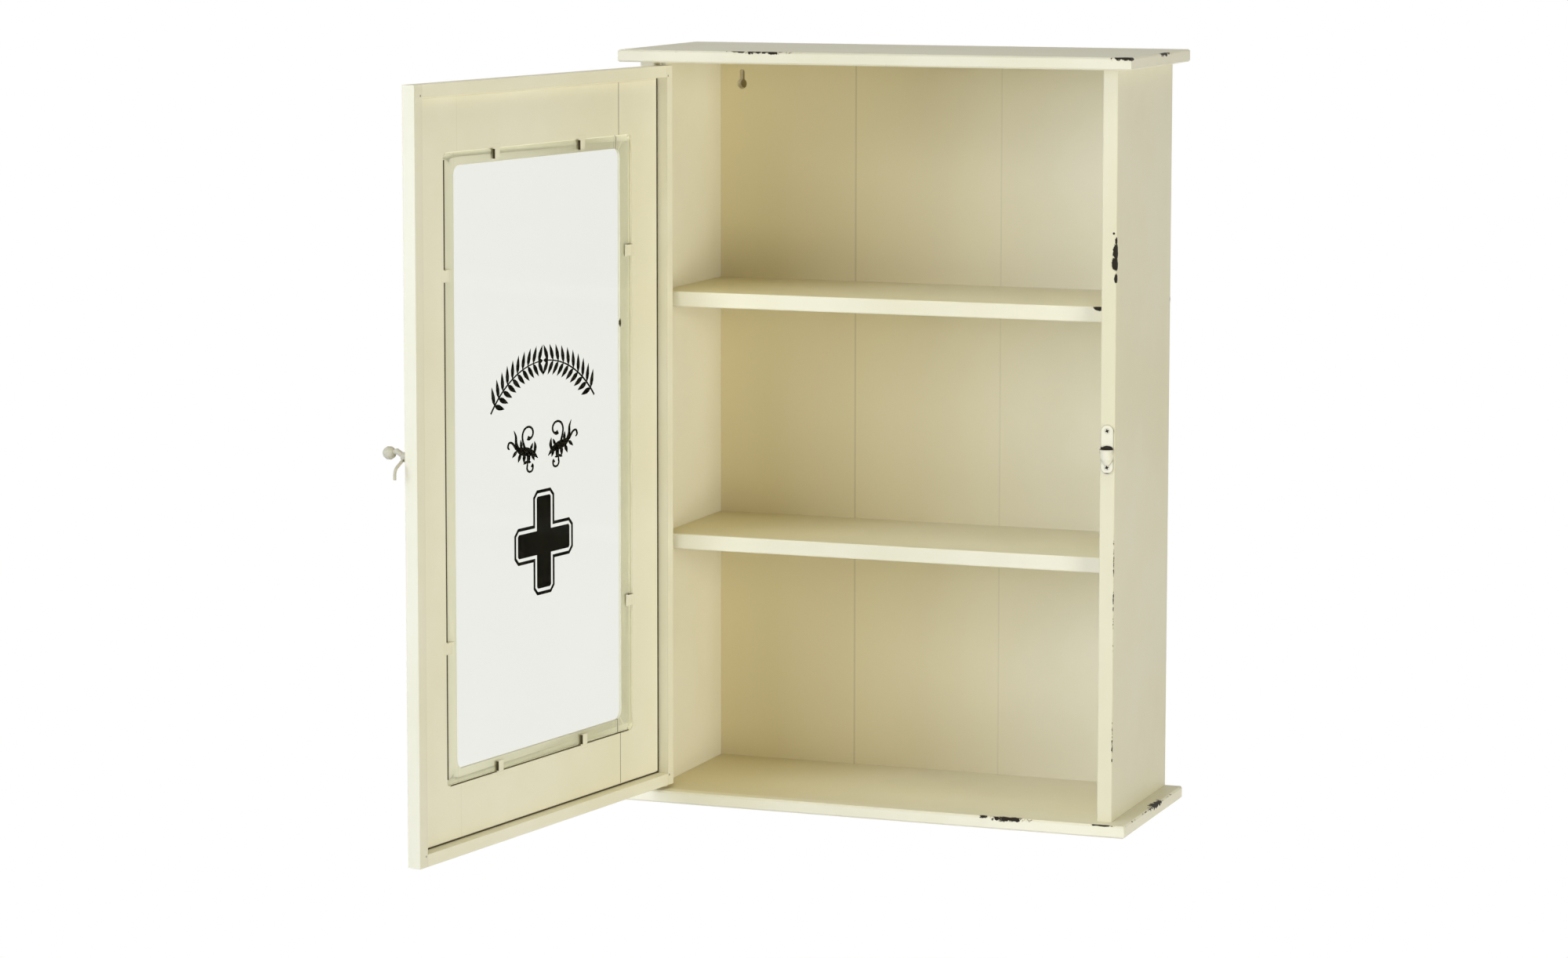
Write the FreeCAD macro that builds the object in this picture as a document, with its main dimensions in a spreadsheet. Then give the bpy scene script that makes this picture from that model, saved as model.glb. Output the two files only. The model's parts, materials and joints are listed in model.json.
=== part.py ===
import FreeCAD, Part
import os
import re
import Sketcher

# Wall-hung medicine cabinet: a painted wooden case with two shelves and one glazed door, shown open.
# The origin is the middle of the back, on the wall. X runs to the right, Y into the wall, Z up.
# Door pieces are drawn closed, from the pivot axis, and then swung open by their placement.

SIZES = {
    # Case
    "height": 650.0,
    "case_width": 424.0,
    "case_depth": 166.0,
    "side_overhang": 15.0,
    "front_overhang": 14.0,
    "board_thickness": 10.5,
    "side_thickness": 13.0,
    "back_thickness": 9.0,
    "board_bevel": 1.3,
    "side_round": 1.2,
    # Shelves, by the height of their upper faces over the foot of the case
    "shelf_thickness": 13.0,
    "upper_shelf_level": 442.0,
    "lower_shelf_level": 231.5,
    "shelf_door_gap": 1.0,
    "shelf_round": 1.2,
    "shelf_housing": 5.0,
    # Keyholes in the back, by which the cabinet hangs on two wall screws
    "keyhole_side_inset": 20.0,
    "keyhole_head_inset": 25.5,
    "keyhole_diameter": 9.0,
    "keyhole_neck_width": 5.0,
    "keyhole_neck_rise": 10.0,
    # Dowels
    "dowel_diameter": 6.0,
    "dowel_in_board": 7.5,
    "dowel_in_side": 14.0,
    "dowel_front_inset": 32.0,
    "dowel_back_inset": 36.0,
    # Door and its pivots
    "door_side_gap": 1.5,
    "door_end_gap": 3.0,
    "door_open_angle": 99.0,
    "pivot_inset": 5.0,
    "pivot_setback": 4.5,
    "pin_diameter": 3.5,
    "pin_reach": 14.0,
    "pin_head_diameter": 6.5,
    "pin_head_depth": 1.5,
    "pin_clearance": 0.05,
    "pin_end_room": 0.6,
    # Strips round the back of the door
    "strip_depth": 11.5,
    "side_strip_width": 11.0,
    "end_strip_width": 10.0,
    "strip_front_round": 2.0,
    "strip_back_round": 2.5,
    # Door panel of two stiles and two rails, set into the strips from the front
    "panel_recess": 9.5,
    "panel_thickness": 6.0,
    "panel_tongue": 3.0,
    "panel_fit": 0.1,
    "panel_round": 2.5,
    "shadow_groove_width": 1.8,
    "shadow_groove_depth": 1.4,
    "stile_reach": 74.0,
    # Window, measured on the door from its hinge edge, foot and head
    "window_hinge_edge": 54.0,
    "window_latch_margin": 54.0,
    "window_foot_margin": 55.5,
    "window_head_margin": 56.0,
    "window_round": 5.0,
    "rebate_depth": 3.8,
    "sill_hinge": 14.0,
    "sill_latch": 19.0,
    "sill_ends": 11.5,
    "sight_round": 8.0,
    "glass_thickness": 3.0,
    "glass_gap": 1.0,
    # Bent tabs that hold the glass
    "tab_width": 10.0,
    "tab_bite": 3.0,
    "tab_cover": 9.0,
    "tab_thickness": 0.6,
    "tab_lift": 2.3,
    "tab_row_spacing": 130.0,
    "tab_upper_level": 482.0,
    "tab_lower_level": 182.0,
    # Nails at the corners of the door
    "nail_diameter": 1.8,
    "nail_length": 11.0,
    "nail_side_inset": 8.8,
    "nail_end_inset": 8.8,
    # Latch lever on the front of the door
    "latch_level": 342.5,
    "latch_inset": 5.5,
    "spindle_diameter": 3.5,
    "spindle_depth": 8.0,
    "spindle_clearance": 0.05,
    "spindle_groove_depth": 0.7,
    "spindle_groove_setback": 4.6,
    "retaining_pin_diameter": 1.5,
    "retaining_pin_length": 9.0,
    "retaining_pin_clearance": 0.1,
    "rosette_diameter": 9.5,
    "rosette_thickness": 1.0,
    "rosette_clearance": 0.3,
    "hub_diameter": 8.0,
    "hub_length": 4.6,
    "hub_bevel": 0.8,
    "neck_diameter": 4.4,
    "neck_run": 8.5,
    "neck_rise_angle": 30.0,
    "neck_fall": 7.5,
    "neck_fall_angle": 14.0,
    "knob_diameter": 10.4,
    "knob_waist": 3.2,
    "knob_shoulder": 7.6,
    "knob_shoulder_length": 2.4,
    "knob_end": 4.4,
    "knob_end_length": 1.2,
    "finger_thickness": 1.8,
    "finger_offset": 3.3,
    "finger_reach": 15.0,
    "finger_drop": 16.6,
    "finger_slope_angle": 30.0,
    "finger_bend_radius": 7.0,
    # Keeper on the front edge of the right side
    "mouth_clearance": 0.9,
    "keeper_width": 11.0,
    "keeper_thickness": 1.2,
    "keeper_foot_drop": 20.5,
    "keeper_head_rise": 20.5,
    "pocket_width": 12.8,
    "pocket_height": 13.0,
    "pocket_belly_width": 10.4,
    "pocket_belly_rise": 4.6,
    "pocket_end_width": 4.4,
    "pocket_wall": 1.0,
    "screw_inset": 5.2,
    "screw_diameter": 2.4,
    "screw_length": 14.0,
    "screw_head_diameter": 4.6,
}

# Places worked out from the sizes
FOOT = "(-height / 2)"
HEAD = "(height / 2)"
CASE_LOW = "(board_thickness - height / 2)"
CASE_TOP = "(height / 2 - board_thickness)"
OUTER = "(case_width / 2)"
INNER = "(case_width / 2 - side_thickness)"
SIDE_MIDDLE = "(case_width / 2 - side_thickness / 2)"
BOARD_HALF = "(case_width / 2 + side_overhang)"
SHELF_FRONT = "(strip_depth + shelf_door_gap - case_depth)"
PIVOT_X = "(side_thickness + door_side_gap + pivot_inset - case_width / 2)"
PIVOT_Y = "(pivot_setback - case_depth)"
DOOR_WIDTH = "(case_width - 2 * side_thickness - 2 * door_side_gap)"
DOOR_LOW = "(board_thickness + door_end_gap - height / 2)"
DOOR_TOP = "(height / 2 - board_thickness - door_end_gap)"
PANEL_FRONT = "(panel_recess + panel_thickness)"
WINDOW_LATCH_EDGE = f"({DOOR_WIDTH} - window_latch_margin)"
WINDOW_LOW = f"({DOOR_LOW} + window_foot_margin)"
WINDOW_TOP = f"({DOOR_TOP} - window_head_margin)"
WINDOW_MIDDLE = f"((window_hinge_edge + {WINDOW_LATCH_EDGE}) / 2)"
SILL = "(panel_recess + rebate_depth)"
LATCH_U = f"({DOOR_WIDTH} - latch_inset)"
LATCH_Z = "(latch_level - height / 2)"
SPINDLE_RADIUS = "(spindle_diameter / 2)"
MOUTH_Z = f"({LATCH_Z} - finger_drop - mouth_clearance)"
KEEPER_FRONT = "(-case_depth - keeper_thickness)"

doc = FreeCAD.newDocument("MedicineCabinet")
sheet = doc.addObject("Spreadsheet::Sheet", "Sizes")
for row, (alias, value) in enumerate(SIZES.items(), start=1):
    sheet.set(f"A{row}", alias.replace("_", " "))
    sheet.set(f"B{row}", str(value))
    sheet.setAlias(f"B{row}", alias)
doc.recompute()

WORDS = re.compile(r"\b(" + "|".join(SIZES) + r")\b")
TURNED = {
    "x": FreeCAD.Rotation(FreeCAD.Vector(0, 1, 0), 90),
    "y": FreeCAD.Rotation(FreeCAD.Vector(1, 0, 0), -90),
    "z": FreeCAD.Rotation(),
}


def sized(text):
    return WORDS.sub(r"Sizes.\1", text)


def place(thing, x, y, z):
    for axis, text in zip("xyz", (x, y, z)):
        thing.setExpression(f"Placement.Base.{axis}", sized(text))
    return thing


# Solids from low and high limits, and round ones from their starting point

def block(name, x, y, z):
    solid = doc.addObject("Part::Box", name)
    for side, (low, high) in zip(("Length", "Width", "Height"), (x, y, z)):
        solid.setExpression(side, sized(f"({high}) - ({low})"))
    return place(solid, x[0], y[0], z[0])


def rod(name, axis, diameter, length, start):
    solid = doc.addObject("Part::Cylinder", name)
    solid.Placement = FreeCAD.Placement(FreeCAD.Vector(), TURNED[axis])
    solid.setExpression("Radius", sized(f"({diameter}) / 2"))
    solid.setExpression("Height", sized(length))
    return place(solid, *start)


def taper(name, axis, diameters, length, start):
    solid = doc.addObject("Part::Cone", name)
    solid.Placement = FreeCAD.Placement(FreeCAD.Vector(), TURNED[axis])
    solid.setExpression("Radius1", sized(f"({diameters[0]}) / 2"))
    solid.setExpression("Radius2", sized(f"({diameters[1]}) / 2"))
    solid.setExpression("Height", sized(length))
    return place(solid, *start)


def along(u):
    return f"({u}) - pivot_inset"


def behind(n):
    return f"strip_depth - pivot_setback - ({n})"


def door_block(name, u, n, z):
    return block(name, (along(u[0]), along(u[1])), (behind(n[1]), behind(n[0])), z)


# Combining

def group(name, members):
    result = doc.addObject("Part::Compound", name)
    result.Links = members
    return result


def joined(name, members):
    result = doc.addObject("Part::MultiFuse", name)
    result.Shapes = members
    return result


def cut(name, base, tools):
    result = doc.addObject("Part::Cut", name)
    result.Base = base
    result.Tool = tools[0] if len(tools) == 1 else group(f"{name}_cuts", tools)
    return result


def shared(name, first, second):
    result = doc.addObject("Part::Common", name)
    result.Base = first
    result.Tool = second
    return result


def rounded(name, base, radius, chosen, kind="Part::Fillet"):
    doc.recompute()
    size = float(sheet.get(radius))
    result = doc.addObject(kind, name)
    result.Base = base
    result.Edges = [
        (number, size, size)
        for number, edge in enumerate(base.Shape.Edges, start=1)
        if chosen(edge.BoundBox, base.Shape.BoundBox)
    ]
    return result


def upright_front(edge, whole):
    return edge.YMax < whole.YMin + edge.ZLength / 2 and edge.ZLength > whole.ZLength / 2


def level_outer(edge, whole):
    return edge.ZLength < whole.ZLength / 2 and edge.YMin < whole.YMax - whole.YLength / 1000


def front_level(edge, whole):
    return edge.YMax < whole.YMin + whole.YLength / 2 and edge.XLength > whole.XLength / 2


# Finished sub-parts

finished = []


def finish(thing, label):
    thing.Label = label
    finished.append(thing)
    return thing


def swing(thing, label):
    thing.Placement = FreeCAD.Placement(FreeCAD.Vector(), FreeCAD.Rotation(FreeCAD.Vector(0, 0, 1), -1))
    thing.setExpression("Placement.Rotation.Angle", sized("-door_open_angle"))
    place(thing, PIVOT_X, PIVOT_Y, "0")
    return finish(thing, label)


# Sketches in a body of their own

def new_body(name):
    return doc.addObject("PartDesign::Body", name)


def sketch_on(body, role, name, offset="0"):
    support = next(plane for plane in body.Origin.OriginFeatures if plane.Role == role)
    sketch = body.newObject("Sketcher::SketchObject", name)
    sketch.AttachmentSupport = [(support, "")]
    sketch.MapMode = "FlatFace"
    sketch.setExpression("AttachmentOffset.Base.z", sized(offset))
    return sketch


def dimension(sketch, kind, ends, name, text):
    number = sketch.addConstraint(Sketcher.Constraint(kind, *ends, 1.0))
    sketch.renameConstraint(number, name)
    sketch.setExpression(f"Constraints.{name}", sized(text))


def line(start, end):
    return Part.LineSegment(FreeCAD.Vector(*start, 0), FreeCAD.Vector(*end, 0))


# Rounded upright plate, its width along X and its height along Z, used to cut the window
def rounded_plate(name, x, z, radius, front, depth):
    body = new_body(name)
    sketch = sketch_on(body, "XZ_Plane", f"{name}_outline")
    turns = [((1, 1), 0), ((-1, 1), 1), ((-1, -1), 2), ((1, -1), 3)]
    quarter = 1.5707963267948966
    for (right, up), step in turns:
        circle = Part.Circle(FreeCAD.Vector(right, up, 0), FreeCAD.Vector(0, 0, 1), 1)
        sketch.addGeometry(Part.ArcOfCircle(circle, step * quarter, (step + 1) * quarter))
    for number, ((right, up), _) in enumerate(turns):
        following = turns[(number + 1) % 4][0]
        outward = (0, 1) if number == 0 else (-1, 0) if number == 1 else (0, -1) if number == 2 else (1, 0)
        start = (right + outward[0], up + outward[1])
        sketch.addGeometry(line(start, (following[0] + outward[0], following[1] + outward[1])))
    for number in range(4):
        sketch.addConstraint(Sketcher.Constraint("Tangent", number, 2, 4 + number, 1))
        sketch.addConstraint(Sketcher.Constraint("Tangent", 4 + number, 2, (number + 1) % 4, 1))
        sketch.addConstraint(Sketcher.Constraint("Horizontal" if number % 2 == 0 else "Vertical", 4 + number))
    for number in range(1, 4):
        sketch.addConstraint(Sketcher.Constraint("Equal", 0, number))
    dimension(sketch, "Radius", (0,), "corner", radius)
    dimension(sketch, "DistanceX", (5, 1, 7, 1), "wide", f"({x[1]}) - ({x[0]})")
    dimension(sketch, "DistanceY", (6, 1, 4, 1), "tall", f"({z[1]}) - ({z[0]})")
    sketch.addConstraint(Sketcher.Constraint("PointOnObject", -1, 1, 5))
    sketch.addConstraint(Sketcher.Constraint("PointOnObject", -1, 1, 6))
    pad = body.newObject("PartDesign::Pad", f"{name}_pad")
    pad.Profile = sketch
    pad.setExpression("Length", sized(depth))
    return place(body, x[0], front, z[0])


# Case: top and bottom boards with softened edges, pegged to the sides

def make_case():
    sides = ((f"-{BOARD_HALF}", BOARD_HALF), ("-case_depth - front_overhang", "0"))
    levels = {"top_board": (CASE_TOP, HEAD), "bottom_board": (FOOT, CASE_LOW)}
    pegs = make_pegs()
    pins = make_pins()
    for name, level in levels.items():
        blank = block(f"{name}_blank", *sides, level)
        soft = rounded(f"{name}_soft", blank, "board_bevel", level_outer, "Part::Chamfer")
        finish(cut(name, soft, [pegs, pins]), name)
    shelves = make_shelves()
    uprights = {"left_side": (f"-{OUTER}", f"-{INNER}"), "right_side": (INNER, OUTER)}
    screws = make_keeper()
    for name, width in uprights.items():
        blank = block(f"{name}_blank", width, ("-case_depth", "0"), (CASE_LOW, CASE_TOP))
        soft = rounded(f"{name}_soft", blank, "side_round", upright_front)
        finish(cut(name, soft, [pegs, screws, *shelves]), name)


# Shelves, their ends housed in grooves of the sides
def make_shelves():
    shelves = []
    reach = f"({INNER} + shelf_housing)"
    for name in ("upper_shelf", "lower_shelf"):
        level = f"{name}_level - height / 2"
        blank = block(
            f"{name}_blank",
            (f"-{reach}", reach),
            (SHELF_FRONT, "-back_thickness"),
            (f"{level} - shelf_thickness", level),
        )
        shelves.append(finish(rounded(name, blank, "shelf_round", front_level), name))
    return shelves


def make_pegs():
    pegs = []
    for side in ("-", ""):
        for level, start in ((CASE_LOW, "dowel_in_board"), (CASE_TOP, "dowel_in_side")):
            for depth in ("dowel_front_inset - case_depth", "-dowel_back_inset"):
                spot = (f"{side}{SIDE_MIDDLE}", depth, f"{level} - {start}")
                length = "dowel_in_board + dowel_in_side"
                pegs.append(rod(f"peg_{len(pegs)}", "z", "dowel_diameter", length, spot))
    return finish(group("carcass_dowels", pegs), "carcass_dowels")


# Back, flush with the rear edges, with a keyhole near each upper corner

def make_back():
    blank = block("back_blank", (f"-{INNER}", INNER), ("-back_thickness", "0"), (CASE_LOW, CASE_TOP))
    keyholes = []
    for side, name in (("-", "left"), ("", "right")):
        middle = f"{side}({INNER} - keyhole_side_inset)"
        level = f"{CASE_TOP} - keyhole_head_inset"
        start = (middle, "-back_thickness", level)
        crown = (middle, "-back_thickness", f"{level} + keyhole_neck_rise")
        keyholes.append(rod(f"{name}_eye", "y", "keyhole_diameter", "back_thickness", start))
        keyholes.append(rod(f"{name}_crown", "y", "keyhole_neck_width", "back_thickness", crown))
        keyholes.append(
            block(
                f"{name}_neck",
                (f"{middle} - keyhole_neck_width / 2", f"{middle} + keyhole_neck_width / 2"),
                ("-back_thickness", "0"),
                (level, f"{level} + keyhole_neck_rise"),
            )
        )
    finish(cut("back_panel", blank, [joined("keyholes", keyholes)]), "back_panel")


# Pivot pins, driven through the boards into the ends of the hinge strip

def make_pins():
    length = "board_thickness + door_end_gap + pin_reach"
    starts = {
        "low": (FOOT, FOOT),
        "high": (f"{HEAD} - ({length})", f"{HEAD} - pin_head_depth"),
    }
    pins = []
    for name, (shank, head) in starts.items():
        body = rod(f"{name}_pin_shank", "z", "pin_diameter", length, (PIVOT_X, PIVOT_Y, shank))
        cap = rod(f"{name}_pin_head", "z", "pin_head_diameter", "pin_head_depth", (PIVOT_X, PIVOT_Y, head))
        pins.append(joined(f"{name}_pin", [body, cap]))
    return finish(group("pivot_pins", pins), "pivot_pins")


# Keeper: a plate with a scooped pocket, open at the top, that the latch finger drops into

def make_keeper():
    foot = f"{MOUTH_Z} - keeper_foot_drop"
    head = f"{MOUTH_Z} + keeper_head_rise"
    half = "keeper_width / 2"
    ends = (f"{foot} + {half}", f"{head} - {half}")
    plates = [
        block(
            "keeper_strip",
            (f"{SIDE_MIDDLE} - {half}", f"{SIDE_MIDDLE} + {half}"),
            (KEEPER_FRONT, "-case_depth"),
            ends,
        )
    ]
    for name, end in zip(("keeper_foot", "keeper_head"), ends):
        plates.append(rod(name, "y", "keeper_width", "keeper_thickness", (SIDE_MIDDLE, KEEPER_FRONT, end)))
    plate = joined("keeper_plate", plates)
    scoop = cut("keeper_scoop", cup("scoop_outside", "0"), [cup("scoop_inside", "pocket_wall")])
    reach = "pocket_width"
    quarter = block(
        "scoop_space",
        (f"{SIDE_MIDDLE} - {reach}", f"{SIDE_MIDDLE} + {reach}"),
        (f"{KEEPER_FRONT} - {reach}", "-case_depth - keeper_thickness / 2"),
        (f"{MOUTH_Z} - 2 * pocket_height", MOUTH_Z),
    )
    pocket = shared("keeper_pocket", scoop, quarter)
    screws = []
    for number, level in enumerate((f"{foot} + screw_inset", f"{head} - screw_inset")):
        spot = (SIDE_MIDDLE, KEEPER_FRONT, level)
        shank = rod(f"screw_shank_{number}", "y", "screw_diameter", "screw_length", spot)
        widths = ("screw_head_diameter", "screw_diameter")
        head_taper = taper(f"screw_head_{number}", "y", widths, "keeper_thickness", spot)
        screws.append(joined(f"keeper_screw_{number}", [shank, head_taper]))
    together = finish(group("keeper_screws", screws), "keeper_screws")
    finish(cut("keeper", joined("keeper_whole", [plate, pocket]), [together]), "keeper")
    return together


# Tapered cup, drawn in towards its foot and thinner all round by the given wall
def cup(name, wall):
    low = f"{MOUTH_Z} - pocket_height"
    bands = {
        "foot": ("pocket_end_width", "pocket_belly_width", f"pocket_belly_rise - {wall}", f"{low} + {wall}"),
        "body": (
            "pocket_belly_width",
            "pocket_width",
            "pocket_height - pocket_belly_rise",
            f"{low} + pocket_belly_rise",
        ),
    }
    pieces = []
    for band, (narrow, wide, length, level) in bands.items():
        widths = (f"{narrow} - 2 * {wall}", f"{wide} - 2 * {wall}")
        pieces.append(taper(f"{name}_{band}", "z", widths, length, (SIDE_MIDDLE, KEEPER_FRONT, level)))
    return joined(name, pieces)


# Door panel with its tongue, window rebate and sight opening, parted into stiles and rails

def make_panel(tabs, nails):
    side = "side_strip_width + panel_fit"
    end = "end_strip_width + panel_fit"
    field_u = (side, f"{DOOR_WIDTH} - ({side})")
    field_z = (f"{DOOR_LOW} + {end}", f"{DOOR_TOP} - ({end})")
    field = door_block("panel_field", field_u, ("panel_recess", PANEL_FRONT), field_z)
    soft = rounded("panel_soft", field, "panel_round", panel_front_edge)
    reach_u = (f"{side} - panel_tongue", f"{DOOR_WIDTH} - ({side} - panel_tongue)")
    reach_z = (f"{DOOR_LOW} + {end} - panel_tongue", f"{DOOR_TOP} - ({end} - panel_tongue)")
    tongue = door_block("panel_tongue_plate", reach_u, ("panel_recess", "strip_depth"), reach_z)
    groove_n = ("panel_recess", "panel_recess + shadow_groove_depth")
    inset = "shadow_groove_width"
    groove = cut(
        "shadow_groove",
        door_block("groove_outside", field_u, groove_n, field_z),
        [
            door_block(
                "groove_inside",
                (f"{field_u[0]} + {inset}", f"{field_u[1]} - {inset}"),
                groove_n,
                (f"{field_z[0]} + {inset}", f"{field_z[1]} - {inset}"),
            )
        ],
    )
    rebate = rounded_plate(
        "window_rebate",
        (along("window_hinge_edge"), along(WINDOW_LATCH_EDGE)),
        (WINDOW_LOW, WINDOW_TOP),
        "window_round",
        behind("panel_recess"),
        "rebate_depth",
    )
    sight = rounded_plate(
        "sight_opening",
        (along("window_hinge_edge + sill_hinge"), along(f"{WINDOW_LATCH_EDGE} - sill_latch")),
        (f"{WINDOW_LOW} + sill_ends", f"{WINDOW_TOP} - sill_ends"),
        "sight_round",
        behind("panel_recess"),
        "panel_thickness",
    )
    panel = cut("panel_whole", joined("panel_blank", [soft, tongue]), [groove, rebate, sight, tabs, nails])
    depth = ("panel_recess", PANEL_FRONT)
    joint = f"{DOOR_WIDTH} - stile_reach"
    middle = f"({DOOR_LOW} + {DOOR_TOP}) / 2"
    members = {
        "hinge_stile": (("0", "stile_reach"), (DOOR_LOW, DOOR_TOP)),
        "latch_stile": ((joint, DOOR_WIDTH), (DOOR_LOW, DOOR_TOP)),
        "top_rail": (("stile_reach", joint), (middle, DOOR_TOP)),
        "bottom_rail": (("stile_reach", joint), (DOOR_LOW, middle)),
    }
    for name, (u, z) in members.items():
        swing(shared(name, panel, door_block(f"{name}_space", u, depth, z)), name)


def panel_front_edge(edge, whole):
    return edge.YMax < whole.YMin + whole.YLength / 2


# Glass and the tabs that hold it in the rebate

def make_glass():
    pane = door_block(
        "pane_blank",
        ("window_hinge_edge + glass_gap", f"{WINDOW_LATCH_EDGE} - glass_gap"),
        (f"{SILL} - glass_thickness", SILL),
        (f"{WINDOW_LOW} + glass_gap", f"{WINDOW_TOP} - glass_gap"),
    )
    swing(rounded("glass_pane", pane, "window_round", through_edge), "glass_pane")


def through_edge(edge, whole):
    return edge.YLength > whole.YLength / 2


# Each tab bites into the wall of the rebate, lies on the glass and has one flank bent up
def make_tabs():
    back = f"{SILL} - glass_thickness"
    depth = (f"{back} - tab_thickness", back)
    lifted = (f"{back} - tab_lift", back)
    levels = ("tab_upper_level - height / 2", "tab_lower_level - height / 2")
    places = (f"{WINDOW_MIDDLE} - tab_row_spacing / 2", f"{WINDOW_MIDDLE} + tab_row_spacing / 2")
    tabs = []
    for edge, sign in (("window_hinge_edge", 1), (WINDOW_LATCH_EDGE, -1)):
        cover, flank = tab_reach(edge, sign)
        for level in levels:
            wide, bent = tab_spread(level)
            name = f"tab_{len(tabs)}"
            flat = door_block(f"{name}_flat", cover, depth, wide)
            tabs.append(joined(name, [flat, door_block(f"{name}_flank", flank, lifted, bent)]))
    for edge, sign in ((WINDOW_LOW, 1), (WINDOW_TOP, -1)):
        cover, flank = tab_reach(edge, sign)
        for middle in places:
            wide, bent = tab_spread(middle)
            name = f"tab_{len(tabs)}"
            flat = door_block(f"{name}_flat", wide, depth, cover)
            tabs.append(joined(name, [flat, door_block(f"{name}_flank", bent, lifted, flank)]))
    return group("tabs_closed", tabs)


def tab_reach(edge, sign):
    cover = spread_from(edge, sign, "-tab_bite", "tab_cover")
    flank = spread_from(edge, sign, "glass_gap", "tab_cover")
    return cover, flank


def tab_spread(middle):
    high = f"{middle} + tab_width / 2"
    return (f"{middle} - tab_width / 2", high), (f"{high} - tab_thickness", high)


def spread_from(edge, sign, near, far):
    if sign > 0:
        return (f"{edge} + ({near})", f"{edge} + ({far})")
    return (f"{edge} - ({far})", f"{edge} - ({near})")


# Strips round the door, rebated for the panel's tongue and bored for the pins and the latch

def make_strips(nails, spindle_room, retaining_pin):
    depth = ("0", "strip_depth")
    inner_u = ("side_strip_width", f"{DOOR_WIDTH} - side_strip_width")
    room = "panel_tongue"
    rebate = door_block(
        "strip_rebate",
        (f"side_strip_width - {room}", f"{DOOR_WIDTH} - (side_strip_width - {room})"),
        ("panel_recess", "strip_depth"),
        (f"{DOOR_LOW} + end_strip_width - {room}", f"{DOOR_TOP} - (end_strip_width - {room})"),
    )
    blanks = {
        "hinge_strip": (("0", "side_strip_width"), (DOOR_LOW, DOOR_TOP)),
        "latch_strip": ((inner_u[1], DOOR_WIDTH), (DOOR_LOW, DOOR_TOP)),
        "bottom_strip": (inner_u, (DOOR_LOW, f"{DOOR_LOW} + end_strip_width")),
        "top_strip": (inner_u, (f"{DOOR_TOP} - end_strip_width", DOOR_TOP)),
    }
    bore = "pin_diameter + 2 * pin_clearance"
    bore_depth = "pin_reach + pin_end_room"
    bores = [
        rod("low_bore", "z", bore, bore_depth, ("0", "0", DOOR_LOW)),
        rod("high_bore", "z", bore, bore_depth, ("0", "0", f"{DOOR_TOP} - ({bore_depth})")),
    ]
    cuts = {
        "hinge_strip": [rebate, nails, *bores],
        "latch_strip": [rebate, nails, spindle_room, retaining_pin],
        "bottom_strip": [rebate],
        "top_strip": [rebate],
    }
    for name, (u, z) in blanks.items():
        soft = door_block(f"{name}_blank", u, depth, z)
        if name == "hinge_strip":
            front = rounded(f"{name}_front", soft, "strip_front_round", outer_front)
            soft = rounded(f"{name}_soft", front, "strip_back_round", outer_back)
        swing(cut(name, soft, cuts[name]), name)


def outer_front(edge, whole):
    return edge.YMax < whole.Center.y and edge.XMax < whole.Center.x and edge.ZLength > whole.ZLength / 2


def outer_back(edge, whole):
    return edge.YMin > whole.Center.y and edge.XMax < whole.Center.x and edge.ZLength > whole.ZLength / 2


def make_nails():
    nails = []
    for u in ("nail_side_inset", f"{DOOR_WIDTH} - nail_side_inset"):
        for z in (f"{DOOR_LOW} + nail_end_inset", f"{DOOR_TOP} - nail_end_inset"):
            start = (along(u), behind("nail_length"), z)
            nails.append(rod(f"nail_{len(nails)}", "y", "nail_diameter", "nail_length", start))
    return group("nails_closed", nails)


# Latch: a swan-neck lever whose curved finger hooks into the keeper, turning in the latch strip

def make_latch_seat():
    axis = (along(LATCH_U), LATCH_Z)
    room = rod(
        "spindle_room",
        "y",
        "spindle_diameter + 2 * spindle_clearance",
        "spindle_depth + pin_end_room",
        (axis[0], "-pivot_setback", axis[1]),
    )
    drop = f"{SPINDLE_RADIUS} - spindle_groove_depth + retaining_pin_clearance + retaining_pin_diameter / 2"
    pin = rod(
        "retaining_pin",
        "x",
        "retaining_pin_diameter",
        "retaining_pin_length",
        (
            along(f"{DOOR_WIDTH} - retaining_pin_length"),
            "spindle_groove_setback - pivot_setback",
            f"{axis[1]} - ({drop})",
        ),
    )
    washer = rod(
        "rosette_blank",
        "y",
        "rosette_diameter",
        "rosette_thickness",
        (axis[0], "-pivot_setback - rosette_thickness", axis[1]),
    )
    hole = rod(
        "rosette_hole",
        "y",
        "spindle_diameter + 2 * spindle_clearance",
        "rosette_thickness",
        (axis[0], "-pivot_setback - rosette_thickness", axis[1]),
    )
    swing(cut("latch_rosette", washer, [hole]), "latch_rosette")
    return room, pin


def make_lever():
    hub_back = "(rosette_thickness + rosette_clearance)"
    groove_half = "(retaining_pin_diameter / 2 + retaining_pin_clearance)"
    groove_start = f"(spindle_groove_setback - {groove_half})"
    groove_end = f"(spindle_groove_setback + {groove_half})"
    thin = "spindle_diameter - 2 * spindle_groove_depth"
    pieces = [
        latch_rod("spindle_root", "spindle_diameter", f"-{hub_back} - hub_length / 2", groove_start),
        latch_rod("spindle_groove", thin, groove_start, groove_end),
        latch_rod("spindle_end", "spindle_diameter", groove_end, "spindle_depth"),
        latch_rod("hub", "hub_diameter", f"hub_bevel - {hub_back} - hub_length", f"-{hub_back}"),
    ]
    crown_start = (along(LATCH_U), f"-pivot_setback - {hub_back} - hub_length", LATCH_Z)
    crown_widths = ("hub_diameter - 2 * hub_bevel", "hub_diameter")
    pieces.append(taper("hub_crown", "y", crown_widths, "hub_bevel", crown_start))
    pieces += make_neck(f"-pivot_setback - {hub_back} - hub_length / 2")
    lever = joined("latch_lever", pieces + make_finger())
    swing(lever, "latch_lever")


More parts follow.
